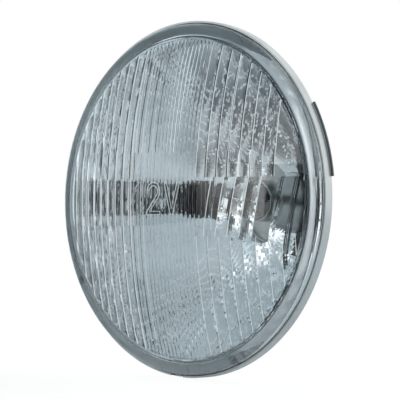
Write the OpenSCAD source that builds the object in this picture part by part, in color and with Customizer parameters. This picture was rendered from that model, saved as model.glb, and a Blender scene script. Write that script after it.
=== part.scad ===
// Round motorcycle headlight insert: a fluted glass lens bonded into a pressed
// steel reflector, with a three-terminal twin-filament bulb held by a wire clip.
// The lamp's axis lies along Y. The lens faces -Y and +Z is up.
// The origin is on the axis, midway along the straight outside wall of the rim.

/* [Rim] */
// Outside diameter of the metal rim
rim_d = 160; // [140:1:200]
// Length of the rim's straight outside wall
lip_len = 4; // [3:0.1:6]
// Thickness of the reflector's sheet steel
sheet_t = 0.8; // [0.6:0.05:1.2]
// Radial width of the sealant between the glass and the rim
seal_gap = 0.5; // [0.3:0.05:0.8]
// Depth of the sealant under the glass
seal_bed = 0.4; // [0.3:0.05:0.6]

/* [Rim ears] */
// How far an ear stands out of the rim
ear_reach = 1; // [0.6:0.1:4]
// Direction of the first ear's middle, in degrees above the horizontal
ear_angle = 18.5; // [0:0.5:40]
// Arc that an ear spans, in degrees
ear_span = 24; // [15:0.5:40]

/* [Locating lug] */
// Direction of the lug on the glass, in degrees from the horizontal
lug_angle = 265.5; // [255:0.5:285]
// Width of the lug
lug_w = 5; // [3:0.1:8]
// Clearance on each side of the lug in the rim's notch
lug_gap = 1.2; // [0.4:0.1:2]

/* [Lens] */
// Thickness of the glass between its flutes and its front
glass_t = 3.6; // [2.8:0.1:4.5]
// Height of the glass margin in front of the rim
edge_stand = 4.2; // [3.8:0.1:6]
// Radius of the margin's rounded front corner
edge_round = 3.4; // [1:0.1:3.8]
// Height of the dome above its own foot
dome_rise = 12.2; // [8:0.1:18]
// Step from the margin up to the foot of the dome
dome_step = 0.8; // [0.4:0.1:1.5]
// Width of the plain glass margin round the fluted field
margin_w = 7.7; // [6.5:0.1:9.5]
// Width of the dome's plain border outside the fluted field
border_w = 1.4; // [0.8:0.1:2.5]
// Width of the ledge round the foot of the dome
ledge_w = 1; // [0.4:0.1:1.6]
// Width of the glass foot that stands in the rim's channel
foot_w = 4.6; // [3.5:0.1:6]

/* [Flutes] */
// Pitch of the wide flutes on the left
wide_pitch = 5.5; // [4:0.1:8]
// Depth of the wide flutes
wide_sag = 0.6; // [0.2:0.05:0.9]
// Pitch of the fine flutes over the centre
fine_pitch = 2.2; // [1.8:0.05:3.5]
// Depth of the fine flutes
fine_sag = 0.2; // [0.1:0.02:0.4]
// Depth of the shallow flutes in the centre block
faint_sag = 0.14; // [0.05:0.01:0.2]
// Pitch of the flutes on the right
right_pitch = 5.7; // [4:0.1:8]
// Depth of the deep cells beside the centre block
cell_sag = 0.8; // [0.4:0.05:1]
// Pitch of the slanted flutes in the kick-up
kick_pitch = 6; // [4:0.1:8]
// Depth of the slanted flutes
kick_sag = 0.35; // [0.2:0.05:0.9]
// Depth of the flutes below the band
low_sag = 0.45; // [0.2:0.05:0.9]
// Left edge of the centre block
block_left = -22; // [-28:0.5:-14]
// Right edge of the centre block
block_right = 18; // [12:0.5:22]
// Left edge of the kick-up, at the middle's height
kick_left = 26; // [23:0.5:30]
// Distance from the axis at which the right side turns plain
plain_x = 57; // [48:0.5:60]
// Height of the centre block's top edge
block_top = 20.5; // [16:0.5:26]
// Height of the line above the beam's middle band
band_top = 9; // [6:0.5:12]
// Height of the line below the beam's middle band
band_foot = -12; // [-16:0.5:-9]
// Slope of the band's foot on the side where the beam kicks up, in degrees
kick_angle = 15; // [10:1:20]
// Lean of the kick-up's flutes, in degrees
kick_lean = 11; // [5:1:16]
// Distance from the axis to each of the kick-up's two ribs, at the middle's height
rib_places = [58, 64];
// Width of such a rib
rib_w = 1.8; // [1:0.1:3]
// Height of such a rib
rib_h = 0.45; // [0.2:0.05:0.8]
// Step between neighbouring blocks of flutes
block_step = 0.3; // [0.1:0.05:0.6]

/* [Reflector] */
// Focal length of the reflector's paraboloid
focal = 25; // [22:0.5:30]
// Radius of the neck's bore
neck_r = 19; // [17:0.1:21]
// Length of the neck
neck_len = 4.5; // [3:0.1:6]

/* [Bulb holder] */
// Distance from the filaments' focus back to the bulb's seat
seat_back = 29; // [27:0.5:34]
// Thickness of the holder's plate
holder_t = 1; // [0.8:0.1:1.5]
// Radius of the holder's plate
holder_r = 25.5; // [24.5:0.1:30]
// Clearance between the neck and the holder's collar
collar_gap = 0.05; // [0.02:0.01:0.1]
// Width of the three keyways for the bulb's lugs
key_w = 8; // [7:0.1:10]

/* [Bulb clip] */
// Diameter of the clip's spring wire
wire_d = 1.2; // [1:0.1:1.5]
// Distance from the axis to each arm of the clip
arm_x = 13.8; // [13.4:0.1:15.5]
// Height of the clip's hinge above the axis
hinge_z = 28; // [27:0.5:32]
// Clearance of the clip from the bulb's flange and from its catch
clip_gap = 0.15; // [0.1:0.05:0.3]
// Running clearance round the wire in its hinge holes
hinge_gap = 0.08; // [0.05:0.01:0.1]
// Width of the catch
catch_w = 8; // [6:0.5:12]
// Length of the catch's nose
catch_reach = 2.6; // [2:0.1:4]

/* [Bulb] */
// Radius of the bulb's flange
flange_r = 21.5; // [20.5:0.1:22]
// Thickness of the bulb's flange
flange_t = 0.9; // [0.7:0.1:1.2]
// Clearance between a lug and its keyway
key_gap = 0.5; // [0.3:0.1:1]
// Radius of the glass envelope
tube_r = 8.4; // [7:0.1:8.8]
// Wall of the glass envelope
tube_wall = 1; // [0.7:0.1:1.4]
// Distance from the seat to the envelope's tip
tube_reach = 57.5; // [50:0.5:60]
// Length of the pinched foot of the envelope
pinch_len = 6; // [4:0.5:8]
// Thickness of the cement between envelope and sleeve
cement_t = 0.6; // [0.4:0.1:1]
// Wall of the metal sleeve
sleeve_t = 0.5; // [0.4:0.1:0.8]
// Length of the metal sleeve in front of the seat
sleeve_len = 12; // [9:0.5:14]
// Outside radius of the base shell
shell_r = 12.4; // [11.6:0.1:12.8]
// Length of the base shell
shell_len = 8; // [6:0.5:12]
// Length of the insulator behind the base shell
insulator_out = 2.5; // [1.5:0.1:4]
// Width of a terminal blade
blade_w = 7.9; // [6.3:0.1:8]
// Thickness of a terminal blade
blade_t = 0.8; // [0.8:0.1:1.2]
// Length of a terminal blade behind the insulator
blade_len = 13; // [10:0.5:16]
// Length of a terminal blade inside the base
blade_root = 7.5; // [6:0.5:9]
// Depth to which the insulator fills the base shell
insulator_in = 4; // [2:0.5:6]
// Distance from a blade's tip to the middle of its hole
hole_back = 4; // [3:0.5:6]
// Radius of a blade's hole
hole_r = 1.2; // [0.8:0.1:1.5]
// Width cut from each corner of a blade's tip
blade_chamfer = 1.1; // [0.5:0.1:1.5]

/* [Filaments] */
// Length of a filament coil
coil_len = 5; // [4:0.1:6.5]
// Radius of a filament coil
coil_r = 0.7; // [0.5:0.05:0.9]
// Radius of the lead wires
lead_r = 0.4; // [0.3:0.05:0.5]
// Radius of the shield cup round the dipped filament
cup_r = 4; // [3.2:0.1:4.6]
// Wall of the shield cup
cup_t = 0.3; // [0.2:0.05:0.4]
// Height of the cup's edges above the dipped filament's middle
cup_lip = 0.6; // [0.2:0.1:1]

/* [Hidden] */

round_fn = 180;
wire_fn = 32;
over = 1;

// Places along the axis, from the front of the glass to the terminals
lip_front = -lip_len / 2;
floor_front = lip_len / 2;
seat_face = floor_front + sheet_t;
margin_y = lip_front - edge_stand;
apex_y = margin_y - dome_step - dome_rise;
glass_back = floor_front - seal_bed;

// Radii of the rim, the glass and the reflector's mouth
rim_r = rim_d / 2;
channel_r = rim_r - sheet_t;
lens_r = channel_r - seal_gap;
field_r = lens_r - margin_w;
dome_r = field_r + border_w;
foot_r = lens_r - foot_w;

// The dome's front is one sphere, and the flutes follow a second one behind it
front_R = (dome_r * dome_r + dome_rise * dome_rise) / (2 * dome_rise);
back_R = front_R - glass_t;
back_apex = apex_y + glass_t;

// The reflector's paraboloid opens at the flange's front face
vertex_y = floor_front + field_r * field_r / (4 * focal);
focus_y = vertex_y - focal;
neck_y = vertex_y - neck_r * neck_r / (4 * focal);
seat_y = focus_y + seat_back;

// The clip lies just behind the bulb's flange
wire_r = wire_d / 2;
clip_y = seat_y + flange_t + clip_gap + wire_r;
ear_x = arm_x + wire_r + hinge_gap + 0.8;
tongue_z = hinge_z + 3;
catch_z = -hinge_z;

// The base, from the flange to the ends of the terminals
base_y = seat_y + flange_t;
shell_back = base_y + shell_len;
insulator_back = shell_back + insulator_out;
tip_y = seat_y - tube_reach;
pinch_y = seat_y - sleeve_len + 2;
inner_r = tube_r - tube_wall;
sleeve_r = tube_r + cement_t + sleeve_t;
blade_gap = 0.05;
blade_x = 8.4;

// The filaments: the main one at the focus, the dipped one in front of it
high_y = focus_y + coil_len / 2;
low_y = focus_y - coil_len;
lead_x = inner_r - lead_r - 1.2;
cup_front = low_y - coil_len - cup_t;

// A profile of [radius, y] points turned about the lamp's axis
module turned(fn = round_fn)
    rotate([-90, 0, 0])
        rotate_extrude($fn = fn)
            children();

// A shape drawn as seen from the front, [x, z], made solid from y0 back to y1
module from_front(y0, y1)
    translate([0, y0, 0])
        rotate([-90, 0, 0])
            linear_extrude(y1 - y0)
                mirror([0, 1])
                    children();

// A round bar along the axis
module axial_rod(r, y0, y1, fn = 48)
    translate([0, y0, 0])
        rotate([-90, 0, 0])
            cylinder(r = r, h = y1 - y0, $fn = fn);

// A sector between two angles, wide enough to cut with
module sector(reach, a0, a1)
    polygon([[0, 0], for (k = [0 : 6]) let (a = a0 + (a1 - a0) * k / 6) reach * [cos(a), sin(a)]]);

// How far the fluted sphere falls back at a distance x from the axis
function fall(x) = back_R - sqrt(back_R * back_R - x * x);

// One row of flutes from x0 to x1, at about the pitch given, each a shallow arch
function flutes(x0, x1, pitch, sag, cuts) =
    let (n = max(1, round((x1 - x0) / pitch)), w = (x1 - x0) / n)
    [for (i = [0 : n * cuts])
        let (x = x0 + i / cuts * w, s = 2 * (i % cuts) / cuts - 1)
        [x, fall(x) + sag * (1 - s * s)]];

// A stretch without flutes
function plain(x0, x1, cuts) =
    [for (i = [0 : cuts]) let (x = x0 + (x1 - x0) * i / cuts) [x, fall(x)]];

// A double rib: two narrow ridges side by side
function rib(x) =
    [for (k = [-2 : 2]) [x + k * rib_w / 4, fall(x) + (abs(k) == 1 ? rib_h : 0)]];

// Rows moved forwards by a step, and rows joined end to end
function forward(rows, step) = [for (p = rows) [p[0], p[1] - step]];
function joined(rows) =
    [for (i = [0 : len(rows) - 1]) if (i == 0 || norm(rows[i] - rows[i - 1]) > 0.001) rows[i]];

// The space behind one band of flutes: the inner sphere with its ribs, turned
// about the sphere's own cross axis, so that the ribs follow the dome, and kept
// to an outline seen from the front. Lean turns the ribs about the lamp's axis.
flute_span = atan((field_r + over) / (back_apex + back_R - seat_face)) + 1;

module flute_cut(rows, outline, lean = 0)
    intersection() {
        translate([0, back_apex + back_R, 0])
            rotate([0, lean, 0])
                rotate([0, 90, 0])
                    rotate(-90 - flute_span)
                        rotate_extrude(angle = 2 * flute_span, $fn = 4 * round_fn)
                            polygon(concat([for (p = joined(rows)) [back_R - p[1], p[0]]],
                                           [[over, rows[len(rows) - 1][0]], [over, rows[0][0]]]));
        from_front(margin_y - dome_rise, seat_face + over) polygon(outline);
    }

// The band's foot falls away to the side from the centre block
function kick_foot(x) = band_foot - (x - block_right) * tan(kick_angle);

module fluted_field() {
    edge = field_r + over;
    half = block_step / 2;
    kick_start = kick_left * cos(kick_lean) - fine_pitch / 2;
    kick_end = kick_start + 4 * kick_pitch;

    // Where the kick-up begins, above and below, and where it leaves the glass
    kick_top = [kick_left + band_top * tan(kick_lean), band_top];
    kick_low = [kick_left, kick_foot(kick_left)];
    kick_far = [edge, kick_foot(edge)];

    left = flutes(-edge, block_left, wide_pitch, wide_sag, 6);
    faint = flutes(block_left, block_right, fine_pitch, faint_sag, 4);
    faint_end = flutes(block_right, kick_top[0] + fine_pitch, fine_pitch, faint_sag, 4);
    right_end = plain(plain_x, edge, 6);

    // Above the centre block
    flute_cut(concat(left, forward(flutes(block_left, block_right, fine_pitch, fine_sag, 4), half),
                     flutes(block_right, plain_x, right_pitch, wide_sag, 6), right_end),
              [[-edge, block_top], [edge, block_top], [edge, edge], [-edge, edge]]);

    // The centre block's upper part, with the cells beside it
    flute_cut(concat(forward(left, half / 3), forward(faint, 2 * half),
                     forward(flutes(block_right, plain_x, right_pitch, cell_sag, 6), 3 * half),
                     forward(right_end, 3 * half)),
              [[-edge, band_top], [edge, band_top], [edge, block_top], [-edge, block_top]]);

    // The beam's middle band, up to the kick-up
    flute_cut(concat(forward(left, 2.4 * half), forward(concat(faint, faint_end), 3 * half)),
              [[-edge, band_foot], [block_right, band_foot], kick_low, kick_top,
               [-edge, band_top]]);

    // The kick-up: slanted flutes, and two ribs on a plain stretch
    flute_cut(forward(concat(plain(kick_start - 2 * kick_pitch, kick_start - kick_pitch, 2),
                             flutes(kick_start, kick_end, kick_pitch, kick_sag, 6),
                             plain(kick_end + rib_w, rib_places[0] - rib_w, 3),
                             rib(rib_places[0]), rib(rib_places[1]),
                             plain(rib_places[1] + rib_w, edge + over, 3)), -2 * half),
              [kick_top, [edge, band_top], kick_far, kick_low], kick_lean);

    // Below the band
    flute_cut(concat(forward(flutes(-edge, block_left, wide_pitch, low_sag, 6), half),
                     forward(faint, 2 * half),
                     forward(flutes(block_right, edge, right_pitch, low_sag, 6), half)),
              [[-edge, band_foot], [block_right, band_foot], kick_low, kick_far,
               [edge, -edge], [-edge, -edge]]);
}

// Section of the glass before the flutes are moulded into its back
module lens_section() {
    intersection() {
        translate([0, apex_y + front_R]) circle(r = front_R, $fn = 720);
        translate([0, apex_y - over]) square([dome_r, margin_y - apex_y + glass_t + over]);
    }
    translate([field_r, margin_y - dome_step / 2])
        square([border_w + ledge_w, dome_step]);
    difference() {
        union() {
            translate([field_r, margin_y])
                square([lens_r - edge_round - field_r, glass_t]);
            translate([lens_r - edge_round, margin_y + edge_round])
                circle(r = edge_round, $fn = 64);
            translate([foot_r, margin_y + edge_round])
                square([lens_r - foot_r, glass_back - margin_y - edge_round]);
            translate([foot_r, margin_y])
                square([lens_r - edge_round - foot_r, glass_t + edge_round]);
        }
        translate([0, glass_back]) square([rim_r, edge_round + over]);
    }
}

module lens() {
    color("lightsteelblue") {
        difference() {
            turned() lens_section();
            intersection() {
                axial_rod(field_r, apex_y, seat_face + over, round_fn);
                fluted_field();
            }
        }
        intersection() {
            turned()
                translate([lens_r - over, lip_front])
                    square([over + seal_gap + sheet_t * 0.7, lip_len - seal_bed - over]);
            from_front(lip_front - over, floor_front)
                rotate(lug_angle)
                    translate([foot_r, -lug_w / 2]) square([rim_r, lug_w]);
        }
    }
}

// The lug's slot, through the rim's wall and the sealant behind it
module lug_slot(r, clear)
    from_front(lip_front - over, floor_front)
        rotate(lug_angle)
            translate([r, -lug_w / 2 - clear]) square([rim_r, lug_w + 2 * clear]);

module seal_bead() {
    color("saddlebrown")
        difference() {
            turned()
                polygon([[lens_r, lip_front + 0.2], [channel_r, lip_front + 0.2],
                         [channel_r, floor_front], [foot_r, floor_front],
                         [foot_r, glass_back], [lens_r, glass_back]]);
            lug_slot(lens_r - 0.01, 0.1);
        }
}

// A point on the paraboloid at radius r, set back along its normal by t
function bowl_point(r, t) =
    let (dy = r / (2 * focal), n = sqrt(1 + dy * dy))
    [r + t * dy / n, vertex_y - r * r / (4 * focal) + t / n];

bowl_steps = 28;
function bowl_r(k) = neck_r + (field_r - neck_r) * k / bowl_steps;

module reflector() {
    bowl_end = bowl_point(field_r, sheet_t)[0];
    color("silver")
        difference() {
            union() {
                turned()
                    polygon(concat(
                        [for (k = [0 : bowl_steps]) bowl_point(bowl_r(k), 0)],
                        [[channel_r, floor_front], [channel_r, lip_front], [rim_r, lip_front],
                         [rim_r, floor_front]],
                        [for (a = [15 : 15 : 75])
                            [channel_r + sheet_t * cos(a), floor_front + sheet_t * sin(a)]],
                        [[channel_r, seat_face], [bowl_end + sheet_t, seat_face]],
                        [for (k = [bowl_steps - 1 : -1 : 1]) bowl_point(bowl_r(k), sheet_t)],
                        [[neck_r + sheet_t, neck_y + sheet_t],
                         [neck_r + sheet_t, neck_y + neck_len],
                         [neck_r, neck_y + neck_len]]));
                for (turn = [0, 180])
                    from_front(floor_front, seat_face)
                        rotate(turn + ear_angle)
                            intersection() {
                                difference() {
                                    circle(r = rim_r + ear_reach, $fn = round_fn);
                                    circle(r = channel_r, $fn = round_fn);
                                }
                                sector(2 * rim_r, -ear_span / 2, ear_span / 2);
                            }
            }
            lug_slot(lens_r, lug_gap);
        }
}

// The holder's plate as seen from the front, before its bore
module holder_outline() {
    circle(r = holder_r, $fn = round_fn);
    translate([-ear_x - holder_t, 0]) square([2 * (ear_x + holder_t), tongue_z]);
    translate([-catch_w / 2, catch_z - wire_r - clip_gap - catch_reach])
        square([catch_w, hinge_z]);
}

// Directions of the bulb's three lugs, seen from the front
lug_turns = [90, 210, 330];

module bulb_holder() {
    collar_in = neck_r + sheet_t + collar_gap;
    plate_y = seat_y - holder_t;
    rim_in = flange_r + key_gap;
    color("darkgray") {
        difference() {
            union() {
                from_front(plate_y, seat_y) holder_outline();
                axial_rod(collar_in + holder_t, neck_y + sheet_t + 0.3, seat_y, round_fn);
                axial_rod(rim_in + holder_t, seat_y, seat_y + flange_t, round_fn);
            }
            axial_rod(collar_in, neck_y, plate_y, round_fn);
            axial_rod(neck_r, neck_y, seat_y + over, round_fn);
            axial_rod(rim_in, seat_y, seat_y + flange_t + over, round_fn);
            for (a = lug_turns)
                from_front(seat_y, seat_y + flange_t + over)
                    rotate(a)
                        translate([neck_r, -key_w / 2]) square([holder_r, key_w]);
        }
        for (side = [-1, 1])
            hinge_ear(side);
        clip_catch();
    }
}

// One of the two ears that carry the clip's ends
module hinge_ear(side) {
    ear_y = clip_y + wire_r + 1.6;
    translate([side * (ear_x + holder_t / 2) - holder_t / 2, 0, 0])
        difference() {
            translate([0, seat_y, hinge_z - 3])
                cube([holder_t, ear_y - seat_y, 6]);
            translate([-over, clip_y, hinge_z])
                rotate([0, 90, 0])
                    cylinder(r = wire_r + hinge_gap, h = holder_t + 2 * over, $fn = wire_fn);
        }
}

// The hook that keeps the clip's closed end down. Its nose stops just short of
// the wire, which springs past it.
module clip_catch() {
    nose_y = clip_y + wire_r + clip_gap;
    nose_z = catch_z - wire_r - clip_gap;
    wall_z = nose_z - catch_reach;
    translate([-catch_w / 2, seat_y, wall_z])
        cube([catch_w, nose_y + holder_t - seat_y, holder_t]);
    translate([-catch_w / 2, nose_y, wall_z])
        cube([catch_w, holder_t, catch_reach]);
}

// The clip's wire as seen from the front, from one hinge end round to the other
clip_route = [[-ear_x - holder_t - 1.2, hinge_z], [-arm_x, hinge_z], [-arm_x, catch_z + 9],
              [-arm_x + 5, catch_z], [arm_x - 5, catch_z], [arm_x, catch_z + 9],
              [arm_x, hinge_z], [ear_x + holder_t + 1.2, hinge_z]];
bend_reach = 1.1 * wire_d;
bend_steps = 4;
wire_sides = 12;

// Centre line of the wire: [x, z, heading], with each corner of the route rounded
function heading(d) = atan2(d[1], d[0]);
function unit(d) = d / norm(d);
clip_line = concat(
    [let (a = clip_route[0]) [a[0], a[1], heading(clip_route[1] - a)]],
    [for (i = [1 : len(clip_route) - 2], k = [0 : bend_steps])
        let (p = clip_route[i], s = k / bend_steps,
             a = bend_reach * unit(clip_route[i - 1] - p),
             b = bend_reach * unit(clip_route[i + 1] - p),
             q = p + (1 - s) * (1 - s) * a + s * s * b,
             d = s * b - (1 - s) * a)
        [q[0], q[1], heading(d)]],
    [let (n = len(clip_route) - 1, b = clip_route[n]) [b[0], b[1], heading(b - clip_route[n - 1])]]);

module bulb_clip() {
    n = wire_sides;
    last = len(clip_line) - 1;
    points = [for (p = clip_line, k = [0 : n - 1])
        let (a = 360 * k / n)
        [p[0] - wire_r * cos(a) * sin(p[2]), clip_y + wire_r * sin(a),
         p[1] + wire_r * cos(a) * cos(p[2])]];
    sides = [for (j = [0 : last - 1], k = [0 : n - 1])
        let (m = (k + 1) % n)
        [j * n + k, j * n + m, (j + 1) * n + m, (j + 1) * n + k]];
    ends = [[for (k = [n - 1 : -1 : 0]) k], [for (k = [0 : n - 1]) last * n + k]];
    color("gainsboro")
        polyhedron(points, concat(sides, ends));
}

module bulb_flange() {
    lug_r = flange_r + key_gap + holder_t;
    color("silver")
        from_front(seat_y, base_y)
            difference() {
                union() {
                    circle(r = flange_r, $fn = round_fn);
                    for (a = lug_turns)
                        rotate(a)
                            translate([neck_r, -key_w / 2 + key_gap])
                                square([lug_r - neck_r, key_w - 2 * key_gap]);
                }
                circle(r = sleeve_r, $fn = 96);
            }
}

module bulb_sleeve() {
    color("silver")
        turned(96)
            polygon([[sleeve_r - sleeve_t, seat_y - sleeve_len], [sleeve_r, seat_y - sleeve_len],
                     [sleeve_r, base_y], [sleeve_r - sleeve_t, base_y]]);
}

module bulb_cement() {
    color("gainsboro")
        turned(96)
            polygon([[tube_r, seat_y - sleeve_len + 1], [sleeve_r - sleeve_t, seat_y - sleeve_len + 1],
                     [sleeve_r - sleeve_t, base_y], [tube_r, base_y]]);
}

// Section of the envelope: a tube with a rounded tip
module tube_section(r, y0, y1, corner) {
    translate([0, y0 + corner]) square([r, y1 - y0 - corner]);
    translate([0, y0]) square([r - corner, corner]);
    intersection() {
        translate([r - corner, y0 + corner]) circle(r = corner, $fn = 64);
        translate([0, y0]) square([r, corner]);
    }
}

module bulb_glass() {
    tip_round = tube_r * 0.7;
    color("lightblue")
        turned(96)
            difference() {
                tube_section(tube_r, tip_y, base_y, tip_round);
                tube_section(inner_r, tip_y + tube_wall, pinch_y, tip_round - tube_wall / 2);
            }
}

module lead(x, z, y0, y1)
    translate([x, 0, z])
        axial_rod(lead_r, y0, y1, 24);

// A leg from a lead to a filament, across the bulb
module leg(x0, z0, x1, z1, y) {
    d = [x1 - x0, z1 - z0];
    translate([x0, y, z0])
        rotate([0, atan2(d[0], d[1]), 0])
            cylinder(r = lead_r, h = norm(d), $fn = 24);
}

// The main filament's own lead
module lead_high()
    color("gray") {
        lead(lead_x, 0, high_y, pinch_y);
        leg(lead_x, 0, 0, 0, high_y + lead_r);
    }

// The lead that both filaments share: it carries the cup and a leg across it
module lead_ground() {
    bridge_y = high_y - coil_len - lead_r;
    color("gray") {
        lead(-lead_x, 0, cup_front, pinch_y);
        leg(-lead_x, 0, 0, 0, bridge_y);
    }
}

// The dipped filament's own lead, under the cup
module lead_low()
    color("gray") {
        lead(0, -lead_x, low_y, pinch_y);
        leg(0, -lead_x, 0, 0, low_y + lead_r);
    }

module filament_high()
    color("dimgray")
        axial_rod(coil_r, high_y - coil_len, high_y, 24);

module filament_low()
    color("dimgray")
        axial_rod(coil_r, low_y - coil_len, low_y, 24);

// An open trough under the dipped filament, closed at its front, where the
// filament ends on it. A tab at its side meets the shared lead.
module shield_cup() {
    color("darkgray") {
        difference() {
            axial_rod(cup_r, cup_front, low_y, 64);
            axial_rod(cup_r - cup_t, cup_front + cup_t, low_y + over, 64);
            translate([-tube_r, cup_front - over, cup_lip])
                cube([2 * tube_r, coil_len + 2 * over + cup_t, tube_r]);
        }
        translate([lead_r - lead_x, cup_front + cup_t, cup_lip - cup_t])
            cube([lead_x - lead_r - cup_r + cup_t, coil_len / 2, cup_t]);
    }
}

module base_shell() {
    color("silver")
        turned(96)
            polygon([[sleeve_r + 0.02, base_y], [shell_r, base_y], [shell_r, shell_back],
                     [shell_r - sleeve_t, shell_back], [shell_r - sleeve_t, base_y + sleeve_t],
                     [sleeve_r + 0.02, base_y + sleeve_t]]);
}

// Places of the three blades, [x, z, turn], as seen from the front
high_blade = [blade_x, -1.5, 90];
low_blade = [0, 8, 0];
ground_blade = [-blade_x, -1.5, 90];

module blade_outline(place, grow)
    translate([place[0], place[1]])
        rotate(place[2])
            square([blade_w + 2 * grow, blade_t + 2 * grow], center = true);

module base_insulator() {
    color("beige")
        difference() {
            axial_rod(shell_r - sleeve_t - blade_gap, shell_back - insulator_in, insulator_back, 96);
            for (place = [high_blade, low_blade, ground_blade])
                from_front(shell_back - insulator_in - over, insulator_back + over)
                    blade_outline(place, blade_gap);
        }
}

// Side view of a blade, with its hole and its chamfered tip
module blade_side() {
    length = blade_root + blade_len;
    difference() {
        polygon([[-blade_w / 2, 0], [blade_w / 2, 0], [blade_w / 2, length - blade_chamfer],
                 [blade_w / 2 - blade_chamfer, length], [blade_chamfer - blade_w / 2, length],
                 [-blade_w / 2, length - blade_chamfer]]);
        translate([0, length - hole_back]) circle(r = hole_r, $fn = 32);
    }
}

module terminal(place)
    color("lightgray")
        translate([place[0], insulator_back - blade_root, place[1]])
            rotate([0, -place[2], 0])
                translate([0, 0, -blade_t / 2])
                    linear_extrude(blade_t)
                        blade_side();

lens();
seal_bead();
reflector();
bulb_holder();
bulb_clip();
bulb_flange();
bulb_sleeve();
bulb_cement();
bulb_glass();
shield_cup();
filament_high();
filament_low();
lead_high();
lead_low();
lead_ground();
base_shell();
base_insulator();
terminal(high_blade);  // terminal_high
terminal(low_blade);  // terminal_low
terminal(ground_blade);  // terminal_ground
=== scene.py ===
"""A round motorcycle headlight insert on a pale floor, among plain cards."""

import math

import bpy
from mathutils import Matrix, Vector


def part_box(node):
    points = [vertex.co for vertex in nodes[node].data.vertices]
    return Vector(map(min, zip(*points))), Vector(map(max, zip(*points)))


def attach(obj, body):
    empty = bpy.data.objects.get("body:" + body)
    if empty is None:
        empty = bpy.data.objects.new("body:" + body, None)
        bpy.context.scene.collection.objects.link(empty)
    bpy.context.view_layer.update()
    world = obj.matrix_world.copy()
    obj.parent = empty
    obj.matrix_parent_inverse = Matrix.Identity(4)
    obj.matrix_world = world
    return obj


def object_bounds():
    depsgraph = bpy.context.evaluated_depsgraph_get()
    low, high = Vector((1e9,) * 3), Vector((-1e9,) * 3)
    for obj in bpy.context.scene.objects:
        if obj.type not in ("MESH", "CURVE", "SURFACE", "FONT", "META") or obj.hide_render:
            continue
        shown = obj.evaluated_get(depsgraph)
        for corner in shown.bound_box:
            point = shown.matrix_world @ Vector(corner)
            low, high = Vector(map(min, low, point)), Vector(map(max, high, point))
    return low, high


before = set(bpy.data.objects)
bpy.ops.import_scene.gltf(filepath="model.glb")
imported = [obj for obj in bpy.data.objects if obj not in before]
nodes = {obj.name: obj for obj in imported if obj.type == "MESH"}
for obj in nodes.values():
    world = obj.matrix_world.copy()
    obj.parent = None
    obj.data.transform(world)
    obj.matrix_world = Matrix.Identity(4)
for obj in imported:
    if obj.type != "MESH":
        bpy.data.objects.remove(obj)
cad_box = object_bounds()

# Camera: where the photograph was taken from, with the middle of the rim's
# front edge as its target.
AZIMUTH = math.radians(43.595)
ELEVATION = math.radians(-1.19)
ROLL = math.radians(-0.415)
DISTANCE = 0.870
TARGET = Vector((0.0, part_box("reflector")[0].y, 0.0))
IMAGE_WIDTH = 400.0
TARGET_PIXEL = (188.07, 199.16)
FOCAL_PIXELS = 1939.0
SENSOR_MM = 36.0

# The bowl's paraboloid, its focal length and the place of its vertex, and the length of the
# bulb's black tip
FOCAL = 0.025
VERTEX = 0.05241
CAP_LENGTH = 0.0145

# The glass in metres: the radii of its front face, its edge and the inside of its foot, the
# place of its back, and a depth that only the back's faces lie below. Then the refractive
# indices of the lens and the bulb, and the sealant's tones.
FRONT_RADIUS = 0.2209
GLASS_RADIUS = 0.0787
FOOT_RADIUS = 0.07410
GLASS_BACK = 0.0016
FRONT_SKIN = 0.001
LENS_INDEX = 1.52
BULB_INDEX = 1.48
BED_DARK = (0.36, 0.43, 0.46)
BED_PALE = (0.84, 0.90, 0.92)

# The fluted field's radius, and the valleys between the flutes. Each part has the place of its
# first valley, the pitch, the side it runs to, its number of flutes, their lean in degrees, its
# lower and upper end, and how broad its valleys show. Then the valleys' least half width and
# how much it wanders, in pitches, and their tone and glow.
FIELD_RADIUS = 0.0708
VALLEYS = ((-0.022, 0.005556, -1, 9, 0, -0.08, 0.08, 2.4),
           (0.018, 0.005571, 1, 7, 0, 0.009, 0.08, 1.0),
           (0.02442, 0.006, 1, 4, 11, -0.0165, 0.009, 1.0),
           (0.018, 0.006, 1, 9, 0, -0.08, -0.0165, 0.7))
VALLEY_WIDTH = 0.008
VALLEY_WANDER = 0.05
VALLEY_TONE = (0.80, 0.87, 0.90)
VALLEY_GLOW = 0.75
MARKING_GLOW = 0.45

# The moulded characters, in millimetres but for the rods' radius: half their height, the
# stroke, the round of the 2, half the V, and the place of each character's middle
ROD_RADIUS = 0.00024
CHARACTER_TOP = 7.2
STROKE = 1.5
ROUND_RADIUS = 3.4
VEE_HALF = 4.6
ONE_X = -14.5
TWO_X = -5.2
VEE_X = 6.0

# The room: tones of its walls, its dark cards, the cloth and the softboxes, and how far off
# the walls are
WALL_GREY = (0.46, 0.53, 0.56)
DARK = (0.010, 0.013, 0.015)
CLOTH = (0.05, 0.065, 0.075)
WHITE = (1.0, 1.0, 1.0)
WALL_DISTANCE = 2.0


def add_object(name, data):
    obj = bpy.data.objects.new(name, data)
    bpy.context.scene.collection.objects.link(obj)
    return obj


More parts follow.
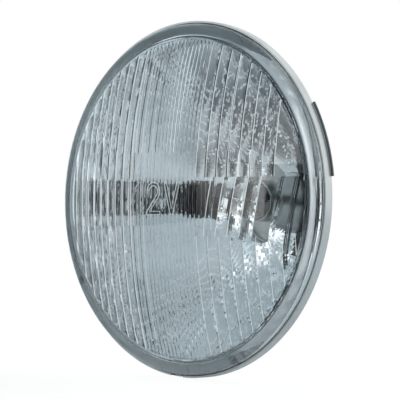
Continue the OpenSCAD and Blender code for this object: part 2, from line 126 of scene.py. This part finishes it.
def add_camera():
    right = Vector((math.cos(AZIMUTH), math.sin(AZIMUTH), 0.0))
    back = Vector((math.sin(AZIMUTH) * math.cos(ELEVATION),
                   -math.cos(AZIMUTH) * math.cos(ELEVATION),
                   math.sin(ELEVATION)))
    up = back.cross(right)
    cos_roll, sin_roll = math.cos(ROLL), math.sin(ROLL)
    rolled_right = right * cos_roll - up * sin_roll
    rolled_up = right * sin_roll + up * cos_roll
    data = bpy.data.cameras.new("camera")
    data.sensor_width = SENSOR_MM
    data.lens = FOCAL_PIXELS / IMAGE_WIDTH * SENSOR_MM
    data.shift_x = (IMAGE_WIDTH / 2 - TARGET_PIXEL[0]) / IMAGE_WIDTH
    data.shift_y = (TARGET_PIXEL[1] - IMAGE_WIDTH / 2) / IMAGE_WIDTH
    camera = add_object("camera", data)
    turn = Matrix((rolled_right, rolled_up, back)).transposed()
    camera.matrix_world = Matrix.Translation(TARGET + back * DISTANCE) @ turn.to_4x4()
    bpy.context.scene.camera = camera


# Materials

def new_material(name):
    material = bpy.data.materials.new(name)
    material.use_nodes = True
    material.node_tree.nodes.clear()
    return material, material.node_tree.nodes, material.node_tree.links


def noise(tree_nodes, links, scale, detail=3.0, stretch=(1.0, 1.0, 1.0)):
    coords = tree_nodes.new("ShaderNodeTexCoord")
    mapping = tree_nodes.new("ShaderNodeMapping")
    mapping.inputs["Scale"].default_value = stretch
    texture = tree_nodes.new("ShaderNodeTexNoise")
    texture.inputs["Scale"].default_value = scale
    texture.inputs["Detail"].default_value = detail
    links.new(coords.outputs["Object"], mapping.inputs["Vector"])
    links.new(mapping.outputs["Vector"], texture.inputs["Vector"])
    return texture


def ramp(tree_nodes, links, source, stops):
    node = tree_nodes.new("ShaderNodeValToRGB")
    elements = node.color_ramp.elements
    while len(elements) < len(stops):
        elements.new(0.5)
    for element, (position, colour) in zip(elements, stops):
        element.position = position
        element.color = (*colour, 1.0)
    links.new(source, node.inputs["Fac"])
    return node


def object_axes(tree_nodes, links):
    """The X, Y and Z of the lamp's own frame, in metres."""
    coords = tree_nodes.new("ShaderNodeTexCoord")
    split = tree_nodes.new("ShaderNodeSeparateXYZ")
    links.new(coords.outputs["Object"], split.inputs["Vector"])
    return split.outputs["X"], split.outputs["Y"], split.outputs["Z"]


def maths(tree_nodes, links, operation, *values):
    node = tree_nodes.new("ShaderNodeMath")
    node.operation = operation
    for socket, value in zip(node.inputs, values):
        if isinstance(value, (int, float)):
            socket.default_value = value
        else:
            links.new(value, socket)
    return node.outputs["Value"]


def radius_squared(tree_nodes, links, x, z):
    across = maths(tree_nodes, links, "MULTIPLY", x, x)
    return maths(tree_nodes, links, "MULTIPLY_ADD", z, z, across)


def mixed(tree_nodes, links, factor, first, second):
    """A mix of two shaders: the first where the factor is 0, the second where it is 1."""
    mix = tree_nodes.new("ShaderNodeMixShader")
    links.new(factor, mix.inputs["Fac"])
    links.new(first.outputs[0], mix.inputs[1])
    links.new(second.outputs[0], mix.inputs[2])
    return mix


def blended(tree_nodes, links, factor, first, second):
    """A mix of two colours, each a socket or three numbers, in the same way."""
    mix = tree_nodes.new("ShaderNodeMix")
    mix.data_type = "RGBA"
    links.new(factor, mix.inputs["Factor"])
    for name, colour in (("A", first), ("B", second)):
        if isinstance(colour, tuple):
            mix.inputs[name].default_value = (*colour, 1.0)
        else:
            links.new(colour, mix.inputs[name])
    return mix.outputs["Result"]


def glowing(tree_nodes, colour, strength):
    emission = tree_nodes.new("ShaderNodeEmission")
    emission.inputs["Color"].default_value = (*colour, 1.0)
    emission.inputs["Strength"].default_value = strength
    return emission


def finish_surface(tree_nodes, links, shader):
    output = tree_nodes.new("ShaderNodeOutputMaterial")
    links.new(shader.outputs[0], output.inputs["Surface"])


def surface(name, colours, roughness, metallic=0.0, scale=60.0, bump=0.0, bump_scale=900.0,
            stretch=(1.0, 1.0, 1.0), glow=0.0):
    """An opaque finish whose colour and roughness wander a little."""
    material, tree_nodes, links = new_material(name)
    shader = tree_nodes.new("ShaderNodeBsdfPrincipled")
    shader.inputs["Metallic"].default_value = metallic
    wander = noise(tree_nodes, links, scale, 4.0, stretch)
    colour = ramp(tree_nodes, links, wander.outputs["Fac"],
                  [(0.3, colours[0]), (0.7, colours[1])])
    links.new(colour.outputs["Color"], shader.inputs["Base Color"])
    if glow:
        links.new(colour.outputs["Color"], shader.inputs["Emission Color"])
        shader.inputs["Emission Strength"].default_value = glow
    rough = tree_nodes.new("ShaderNodeMapRange")
    rough.inputs["To Min"].default_value = roughness[0]
    rough.inputs["To Max"].default_value = roughness[1]
    links.new(wander.outputs["Fac"], rough.inputs["Value"])
    links.new(rough.outputs["Result"], shader.inputs["Roughness"])
    if bump:
        grain = noise(tree_nodes, links, bump_scale, 2.0, stretch)
        bumper = tree_nodes.new("ShaderNodeBump")
        bumper.inputs["Strength"].default_value = bump
        bumper.inputs["Distance"].default_value = 0.0002
        links.new(grain.outputs["Fac"], bumper.inputs["Height"])
        links.new(bumper.outputs["Normal"], shader.inputs["Normal"])
    finish_surface(tree_nodes, links, shader)
    return material


def clear_glass(tree_nodes, links, colour, ior, ripple):
    """Clear glass whose face is a little wavy, as pressed or blown glass is."""
    shader = tree_nodes.new("ShaderNodeBsdfPrincipled")
    shader.inputs["Base Color"].default_value = (*colour, 1.0)
    shader.inputs["Transmission Weight"].default_value = 1.0
    shader.inputs["IOR"].default_value = ior
    shader.inputs["Roughness"].default_value = 0.0
    wave = noise(tree_nodes, links, 90.0, 2.0)
    bumper = tree_nodes.new("ShaderNodeBump")
    bumper.inputs["Strength"].default_value = ripple
    bumper.inputs["Distance"].default_value = 0.0003
    links.new(wave.outputs["Fac"], bumper.inputs["Height"])
    links.new(bumper.outputs["Normal"], shader.inputs["Normal"])
    return shader


def bedded(tree_nodes, links):
    """1 on the faces where the glass's back and edge lie against the sealant."""
    x, y, z = object_axes(tree_nodes, links)
    radius = maths(tree_nodes, links, "SQRT", radius_squared(tree_nodes, links, x, z))
    back = maths(tree_nodes, links, "COMPARE", y, GLASS_BACK, 0.00004)
    foot = maths(tree_nodes, links, "COMPARE", radius, (GLASS_RADIUS + FOOT_RADIUS) / 2,
                 (GLASS_RADIUS - FOOT_RADIUS) / 2 + 0.0001)
    on_back = maths(tree_nodes, links, "MULTIPLY", back, foot)
    edge = maths(tree_nodes, links, "COMPARE", radius, GLASS_RADIUS, 0.00005)
    beside = maths(tree_nodes, links, "GREATER_THAN", y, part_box("seal_bead")[0].y)
    on_edge = maths(tree_nodes, links, "MULTIPLY", edge, beside)
    return maths(tree_nodes, links, "MAXIMUM", on_back, on_edge)


def valley_lines(tree_nodes, links):
    """1 along the valleys between the flutes, on the glass's back only."""
    x, y, z = object_axes(tree_nodes, links)
    depth = maths(tree_nodes, links, "SUBTRACT", y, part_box("lens")[0].y + FRONT_RADIUS)
    across = radius_squared(tree_nodes, links, x, z)
    squared = maths(tree_nodes, links, "MULTIPLY_ADD", depth, depth, across)
    inside = maths(tree_nodes, links, "MULTIPLY",
                   maths(tree_nodes, links, "LESS_THAN", squared, (FRONT_RADIUS - FRONT_SKIN) ** 2),
                   maths(tree_nodes, links, "LESS_THAN", across, FIELD_RADIUS ** 2))
    wander = noise(tree_nodes, links, 120.0, 3.0)
    width = maths(tree_nodes, links, "MULTIPLY_ADD", wander.outputs["Fac"], VALLEY_WANDER,
                  VALLEY_WIDTH)
    lines = 0.0
    for start, pitch, side, flutes, lean, low, high, breadth in VALLEYS:
        turn = math.radians(lean)
        upright = maths(tree_nodes, links, "MULTIPLY_ADD", z, -math.sin(turn),
                        maths(tree_nodes, links, "MULTIPLY", x, math.cos(turn)))
        along = maths(tree_nodes, links, "MULTIPLY_ADD", upright, side / pitch,
                      -side * start / pitch)
        line = maths(tree_nodes, links, "LESS_THAN",
                     maths(tree_nodes, links, "PINGPONG", along, 0.5),
                     maths(tree_nodes, links, "MULTIPLY", width, breadth))
        for test, value, limit in (("GREATER_THAN", along, -0.1),
                                   ("LESS_THAN", along, flutes + 0.1),
                                   ("GREATER_THAN", z, low), ("LESS_THAN", z, high)):
            line = maths(tree_nodes, links, "MULTIPLY", line,
                         maths(tree_nodes, links, test, value, limit))
        lines = maths(tree_nodes, links, "MAXIMUM", lines, line)
    return maths(tree_nodes, links, "MULTIPLY", lines, inside)


def lens_material(colour, ripple):
    """Clear glass with light valleys, and the sealant's grey where it lies in that, with painted
    shade towards the top and the right.
    """
    material, tree_nodes, links = new_material("lens_glass")
    clear = clear_glass(tree_nodes, links, colour, LENS_INDEX, ripple)
    # A soft glow stands in for the light that the sharp valleys scatter
    lined = mixed(tree_nodes, links, valley_lines(tree_nodes, links), clear,
                  glowing(tree_nodes, VALLEY_TONE, VALLEY_GLOW))
    wetted = tree_nodes.new("ShaderNodeBsdfPrincipled")
    wetted.inputs["Roughness"].default_value = 0.6
    # The margin's grey is darker towards the top and the right: painted shade
    wander = noise(tree_nodes, links, 60.0, 4.0)
    x, _, z = object_axes(tree_nodes, links)
    slope = maths(tree_nodes, links, "ADD", x, z)
    place = maths(tree_nodes, links, "MULTIPLY_ADD", wander.outputs["Fac"], 0.03, slope)
    margin_shade = tree_nodes.new("ShaderNodeMapRange")
    margin_shade.interpolation_type = "SMOOTHSTEP"
    margin_shade.inputs["From Min"].default_value = -0.01
    margin_shade.inputs["From Max"].default_value = 0.08
    links.new(place, margin_shade.inputs["Value"])
    bed = ramp(tree_nodes, links, margin_shade.outputs["Result"], [(0.0, BED_PALE), (1.0, BED_DARK)])
    links.new(bed.outputs["Color"], wetted.inputs["Base Color"])
    finish_surface(tree_nodes, links,
                   mixed(tree_nodes, links, bedded(tree_nodes, links), lined, wetted))
    return material


def bulb_glass_material(cap_end):
    """Clear glass with a black painted tip in front of cap_end, a place on the Y axis."""
    material, tree_nodes, links = new_material("bulb_glass")
    clear = clear_glass(tree_nodes, links, (0.97, 0.98, 0.98), BULB_INDEX, 0.01)
    black = tree_nodes.new("ShaderNodeBsdfPrincipled")
    black.inputs["Base Color"].default_value = (0.012, 0.012, 0.014, 1.0)
    black.inputs["Roughness"].default_value = 0.5
    black.inputs["Specular IOR Level"].default_value = 0.2
    y = object_axes(tree_nodes, links)[1]
    waver = noise(tree_nodes, links, 180.0, 1.0)
    waved = maths(tree_nodes, links, "MULTIPLY_ADD", waver.outputs["Fac"], 0.0008, y)
    edge = maths(tree_nodes, links, "LESS_THAN", waved, cap_end)
    finish_surface(tree_nodes, links, mixed(tree_nodes, links, edge, clear, black))
    return material


def reflector_material(rim_radius):
    """A mirror inside the bowl, and satin metal on the flange, the rim and the back."""
    material, tree_nodes, links = new_material("reflector_metal")
    mirror = tree_nodes.new("ShaderNodeBsdfPrincipled")
    mirror.inputs["Base Color"].default_value = (0.88, 0.9, 0.91, 1.0)
    mirror.inputs["Metallic"].default_value = 1.0
    mirror.inputs["Roughness"].default_value = 0.03
    satin = tree_nodes.new("ShaderNodeBsdfPrincipled")
    satin.inputs["Metallic"].default_value = 1.0
    satin.inputs["Roughness"].default_value = 0.38
    wander = noise(tree_nodes, links, 45.0, 5.0)
    tone = ramp(tree_nodes, links, wander.outputs["Fac"],
                [(0.3, (0.55, 0.59, 0.59)), (0.7, (0.66, 0.7, 0.7))])
    x, y, z = object_axes(tree_nodes, links)
    squared = radius_squared(tree_nodes, links, x, z)
    # Round the bowl's mouth the coating runs out over the flange
    mouth = maths(tree_nodes, links, "LESS_THAN", squared, (FOOT_RADIUS + 0.001) ** 2)
    coated = blended(tree_nodes, links, mouth, tone.outputs["Color"], (0.86, 0.88, 0.89))
    # The ears stand out past the rim; their dark colour is painted shade, as they lie in shadow
    shaded_ear = maths(tree_nodes, links, "GREATER_THAN", squared, (rim_radius + 0.0002) ** 2)
    links.new(blended(tree_nodes, links, shaded_ear, coated, (0.13, 0.14, 0.15)),
              satin.inputs["Base Color"])
    # Inside the bowl, y + r*r / (4 * focal) stays the vertex's own y
    bowl = maths(tree_nodes, links, "MULTIPLY_ADD", squared, 1.0 / (4 * FOCAL), y)
    outside = maths(tree_nodes, links, "GREATER_THAN", bowl, VERTEX + 0.0004)
    finish_surface(tree_nodes, links, mixed(tree_nodes, links, outside, mirror, satin))
    return material


def sealant_material(front):
    """Brown where it shows beside the rim, and pale grey where it beds the glass."""
    material, tree_nodes, links = new_material("sealant")
    shader = tree_nodes.new("ShaderNodeBsdfPrincipled")
    shader.inputs["Roughness"].default_value = 0.55
    wander = noise(tree_nodes, links, 220.0, 4.0)
    line = ramp(tree_nodes, links, wander.outputs["Fac"],
                [(0.35, (0.035, 0.025, 0.02)), (0.6, (0.2, 0.13, 0.08))])
    bed = ramp(tree_nodes, links, wander.outputs["Fac"], [(0.3, BED_DARK), (0.7, BED_PALE)])
    y = object_axes(tree_nodes, links)[1]
    shown = maths(tree_nodes, links, "LESS_THAN", y, front + 0.0001)
    links.new(blended(tree_nodes, links, shown, bed.outputs["Color"], line.outputs["Color"]),
              shader.inputs["Base Color"])
    # Where the two touch, the glass's own face shows the sealant
    through = tree_nodes.new("ShaderNodeBsdfTransparent")
    finish_surface(tree_nodes, links,
                   mixed(tree_nodes, links, bedded(tree_nodes, links), shader, through))
    return material


def dress(node, material):
    data = nodes[node].data
    data.materials.clear()
    data.materials.append(material)


def arc(radius, middle, start, end, steps):
    """Points round a circle at height middle, between two angles in degrees."""
    angles = [math.radians(start + (end - start) * i / steps) for i in range(steps + 1)]
    return [(radius * math.cos(t), middle + radius * math.sin(t)) for t in angles]


def character_outlines():
    """A 1, a 2 and a V, each as its place across and one closed outline."""
    top, half = CHARACTER_TOP, STROKE / 2
    bend = top - ROUND_RADIUS - half
    one = [(half, top), (half, -top), (-half, -top), (-half, top - 3.0), (-2.8, top - 4.2),
           (-2.8, top - 2.6), (-half / 2, top)]
    two = (arc(ROUND_RADIUS + half, bend, 170, -35, 10)
           + [(-1.6 * half - 1.2, STROKE - top), (ROUND_RADIUS + half, STROKE - top),
              (ROUND_RADIUS + half, -top), (-ROUND_RADIUS - half, -top),
              (-ROUND_RADIUS - half, STROKE - top)]
           + arc(ROUND_RADIUS - half, bend, -35, 170, 8))
    vee = [(-VEE_HALF, top), (STROKE - VEE_HALF, top), (0.0, STROKE * 1.8 - top),
           (VEE_HALF - STROKE, top), (VEE_HALF, top), (half, -top), (-half, -top)]
    return ((ONE_X, one), (TWO_X, two), (VEE_X, vee))


def add_marking(material):
    """Plain characters moulded in the glass, as fine rods that lie just under its face."""
    curve = bpy.data.curves.new("marking", "CURVE")
    curve.dimensions = "3D"
    curve.bevel_depth = ROD_RADIUS
    curve.bevel_resolution = 1
    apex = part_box("lens")[0].y
    for middle, points in character_outlines():
        spline = curve.splines.new("POLY")
        spline.points.add(len(points) - 1)
        spline.use_cyclic_u = True
        for point, (across, height) in zip(spline.points, points):
            x, z = (middle + across) / 1000, height / 1000
            face = apex + FRONT_RADIUS - math.sqrt(FRONT_RADIUS ** 2 - x * x - z * z)
            point.co = (x, face + ROD_RADIUS + 0.00002, z, 1.0)
    rods = add_object("marking_rods", curve)
    graph = bpy.context.evaluated_depsgraph_get()
    mesh = bpy.data.meshes.new_from_object(rods.evaluated_get(graph))
    bpy.data.objects.remove(rods)
    mesh.materials.clear()
    mesh.materials.append(material)
    marking = add_object("marking", mesh)
    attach(marking, "lamp")


def dress_all():
    steel = surface("plated_steel", ((0.62, 0.63, 0.62), (0.74, 0.75, 0.74)), (0.22, 0.4), 1.0,
                    40.0, 0.15)
    wire = surface("spring_wire", ((0.55, 0.56, 0.57), (0.66, 0.67, 0.68)), (0.15, 0.3), 1.0)
    inner = surface("inner_metal", ((0.76, 0.77, 0.78), (0.88, 0.88, 0.88)), (0.2, 0.4), 1.0)
    terminals = surface("terminal_metal", ((0.68, 0.65, 0.56), (0.8, 0.77, 0.68)), (0.2, 0.4), 1.0,
                        120.0, 0.1)
    tungsten = surface("tungsten", ((0.16, 0.16, 0.17), (0.24, 0.24, 0.25)), (0.4, 0.6), 1.0,
                       300.0, 0.8, 2400.0, (0.05, 1.0, 0.05))
    dress("lens", lens_material((0.95, 0.975, 0.985), 0.02))
    # The glow stands in for the light that moulded edges pass on from all round
    add_marking(surface("marking_glass", ((0.62, 0.67, 0.69), (0.78, 0.82, 0.84)), (0.2, 0.4),
                        glow=MARKING_GLOW))
    rim_radius = -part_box("reflector")[0].z
    dress("seal_bead", sealant_material(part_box("seal_bead")[0].y))
    dress("reflector", reflector_material(rim_radius))
    dress("bulb_cement", surface("cement", ((0.7, 0.68, 0.6), (0.85, 0.83, 0.76)), (0.8, 0.95),
                                 0.0, 400.0, 0.6))
    dress("base_insulator", surface("insulator", ((0.6, 0.56, 0.46), (0.72, 0.68, 0.58)),
                                    (0.55, 0.7), 0.0, 200.0, 0.3))
    dress("bulb_glass", bulb_glass_material(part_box("bulb_glass")[0].y + CAP_LENGTH))
    for node in ("bulb_holder", "bulb_flange", "bulb_sleeve", "base_shell"):
        dress(node, steel)
    for node in ("shield_cup", "lead_high", "lead_low", "lead_ground"):
        dress(node, inner)
    for node in ("filament_high", "filament_low"):
        dress(node, tungsten)
    for node in ("terminal_high", "terminal_low", "terminal_ground"):
        dress(node, terminals)
    dress("bulb_clip", wire)


# Studio

def panel(name, corners, colour, strength, feather=0.0):
    """A glowing card that only reflections and light see, from its four corners. With a
    feather it is an oval that fades out over that share of its radius."""
    mesh = bpy.data.meshes.new(name)
    mesh.from_pydata(corners, [], [(0, 1, 2, 3)])
    layer = mesh.uv_layers.new(name="across")
    for loop, uv in zip(layer.data, ((-1, -1), (1, -1), (1, 1), (-1, 1))):
        loop.uv = uv
    obj = add_object(name, mesh)
    material, tree_nodes, links = new_material(name)
    glow = glowing(tree_nodes, colour, strength)
    if feather:
        coords = tree_nodes.new("ShaderNodeTexCoord")
        length = tree_nodes.new("ShaderNodeVectorMath")
        length.operation = "LENGTH"
        links.new(coords.outputs["UV"], length.inputs[0])
        fade = tree_nodes.new("ShaderNodeMapRange")
        fade.interpolation_type = "SMOOTHSTEP"
        fade.inputs["From Min"].default_value = 1.0 - feather
        fade.inputs["From Max"].default_value = 1.0
        links.new(length.outputs["Value"], fade.inputs["Value"])
        nothing = tree_nodes.new("ShaderNodeBsdfTransparent")
        glow = mixed(tree_nodes, links, fade.outputs["Result"], glow, nothing)
    finish_surface(tree_nodes, links, glow)
    mesh.materials.append(material)
    obj.visible_camera = False
    obj.visible_shadow = False


def card(name, azimuth, elevation, distance, width, height, colour, strength, feather=0.0):
    """A card that faces the lamp from a direction in degrees, 0 being straight in front."""
    a, e = math.radians(azimuth), math.radians(elevation)
    away = Vector((math.sin(a) * math.cos(e), -math.cos(a) * math.cos(e), math.sin(e)))
    right = Vector((math.cos(a), math.sin(a), 0.0))
    up = away.cross(right)
    panel(name, [away * distance + right * sx * width / 2 + up * sz * height / 2
                 for sx, sz in ((-1, -1), (1, -1), (1, 1), (-1, 1))], colour, strength, feather)


def add_floor():
    """A plain pale floor, just under the lamp."""
    size = 3.0
    height = cad_box[0][2] - 0.0004
    mesh = bpy.data.meshes.new("floor")
    mesh.from_pydata([(-size, -size, height), (size, -size, height), (size, size, height),
                      (-size, size, height)], [], [(0, 1, 2, 3)])
    floor = add_object("floor", mesh)
    material, tree_nodes, links = new_material("floor")
    diffuse = tree_nodes.new("ShaderNodeBsdfDiffuse")
    diffuse.inputs["Color"].default_value = (0.9, 0.9, 0.9, 1.0)
    glow = glowing(tree_nodes, WHITE, 1.08)
    # The camera sees it nearly white, with the shadow left in the rest
    path = tree_nodes.new("ShaderNodeLightPath")
    share = maths(tree_nodes, links, "MULTIPLY", path.outputs["Is Camera Ray"], 0.85)
    finish_surface(tree_nodes, links, mixed(tree_nodes, links, share, diffuse, glow))
    mesh.materials.append(material)


def add_world():
    """White where the camera, a mirror or the glass looks, and soft light for the rest."""
    world = bpy.data.worlds.new("world")
    bpy.context.scene.world = world
    world.use_nodes = True
    tree_nodes, links = world.node_tree.nodes, world.node_tree.links
    tree_nodes.clear()
    path = tree_nodes.new("ShaderNodeLightPath")
    seen = maths(tree_nodes, links, "MAXIMUM", path.outputs["Is Camera Ray"],
                 path.outputs["Is Glossy Ray"])
    seen = maths(tree_nodes, links, "MAXIMUM", seen, path.outputs["Is Transmission Ray"])
    soft = tree_nodes.new("ShaderNodeBackground")
    soft.inputs["Color"].default_value = (0.9, 0.95, 1.0, 1.0)
    soft.inputs["Strength"].default_value = 0.7
    white = tree_nodes.new("ShaderNodeBackground")
    white.inputs["Color"].default_value = (1.0, 1.0, 1.0, 1.0)
    white.inputs["Strength"].default_value = 1.0
    output = tree_nodes.new("ShaderNodeOutputWorld")
    links.new(mixed(tree_nodes, links, seen, soft, white).outputs[0], output.inputs["Surface"])


def add_studio():
    add_world()
    add_floor()
    # Grey walls round the lens's side of the room, lighter on the left
    for azimuth in range(-90, 91, 30):
        for elevation in (-10, 35, 75):
            leftward = max(0.0, (-30 - azimuth) / 30) if elevation < 75 else 0.0
            card(f"wall_{azimuth + 90}_{elevation + 10}", azimuth, elevation, WALL_DISTANCE,
                 1.3, 1.7, WALL_GREY, 1.0 + 0.6 * leftward)
    # Dark cards close by on the right, which the bowl mirrors on both sides of the bulb
    for azimuth in (9, 31, 53, 75):
        card(f"dark_room_{azimuth}", azimuth, -0.9, 0.34, 0.15, 0.147, DARK, 1.0)
    # A black flag on the left, which the glass's front mirrors over the same band
    card("flag_left", -53, 0, 0.6, 0.51, 0.1, DARK, 1.0)
    # A dark cloth on the table, which the bowl's upper right mirrors
    table = cad_box[0][2]
    panel("dark_cloth", [(-0.26, -0.24, table), (0.08, -0.24, table), (0.08, 0.0, table),
                         (-0.26, 0.0, table)], CLOTH, 1.0, 0.9)
    card("softbox_front", -16, 10, 1.2, 0.9, 0.85, WHITE, 1.9, 0.5)
    card("softbox_right", 98, 12, 1.4, 0.8, 1.2, WHITE, 2.0)


add_camera()
dress_all()
add_studio()
bpy.context.scene.view_settings.view_transform = "Standard"
